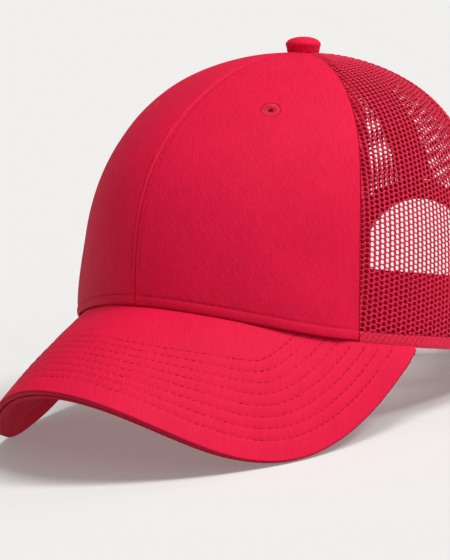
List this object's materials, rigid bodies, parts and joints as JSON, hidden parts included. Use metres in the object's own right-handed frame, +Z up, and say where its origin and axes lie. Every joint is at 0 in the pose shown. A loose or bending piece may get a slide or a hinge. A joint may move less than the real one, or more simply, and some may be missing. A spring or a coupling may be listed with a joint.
{
  "type": "trucker mesh cap",
  "caption": "Structured baseball cap with twill front panels, open mesh side and rear panels, curved stitched visor, top button and plastic snap closure over a rear arch.",
  "frame": {"origin": "bottom centre of the bounding box, on the surface that the cap rests on with its visor corners and its rear hem", "axes": "+Z up, -Y forward over the visor, +X towards the wearer's left"},
  "size_m": [0.1732, 0.255, 0.154],
  "materials": {
    "twill": "red brushed cotton twill",
    "mesh_knit": "red open warp-knit polyester mesh",
    "buckram": "stiffened open weave, dyed",
    "seam_tape": "red woven tape",
    "sweatband": "red brushed cotton over foam",
    "visor_board": "pale moulded board",
    "snap_plastic": "red moulded polyethylene",
    "steel_prong": "plain steel",
    "embroidery": "red satin-stitched thread"
  },
  "bodies": {
    "cap": {"front_panel_left": "twill", "front_panel_right": "twill", "side_mesh_left": "mesh_knit", "side_mesh_right": "mesh_knit", "rear_mesh_left": "mesh_knit", "rear_mesh_right": "mesh_knit", "front_buckram_left": "buckram", "front_buckram_right": "buckram", "tape_front_centre": "seam_tape", "tape_front_side_left": "seam_tape", "tape_front_side_right": "seam_tape", "tape_rear_side_left": "seam_tape", "tape_rear_side_right": "seam_tape", "tape_rear_centre": "seam_tape", "arch_binding": "seam_tape", "sweatband": "sweatband", "visor_top_cover": "twill", "visor_board": "visor_board", "visor_under_cover": "twill", "top_button": "twill", "button_prong": "steel_prong", "eyelet_left": "embroidery", "eyelet_right": "embroidery", "strap_tab_left": "snap_plastic", "strap_tab_right": "snap_plastic"},
    "hole_strap": {"strap_with_holes": "snap_plastic"},
    "peg_strap": {"strap_with_pegs": "snap_plastic"}
  },
  "joints": [
    {"name": "hole_strap_bend", "type": "hinge", "parent": "cap", "child": "hole_strap", "pos_m": [0.0335, 0.11826, 0.01209], "axis": [0, 0.1126, 0.9936], "range_deg": [-75, 0], "stiffness_Nm_per_rad": 0.02},
    {"name": "peg_strap_bend", "type": "hinge", "parent": "cap", "child": "peg_strap", "pos_m": [-0.0335, 0.11826, 0.01209], "axis": [0, 0.1126, 0.9936], "range_deg": [-35, 0], "stiffness_Nm_per_rad": 0.02}
  ]
}
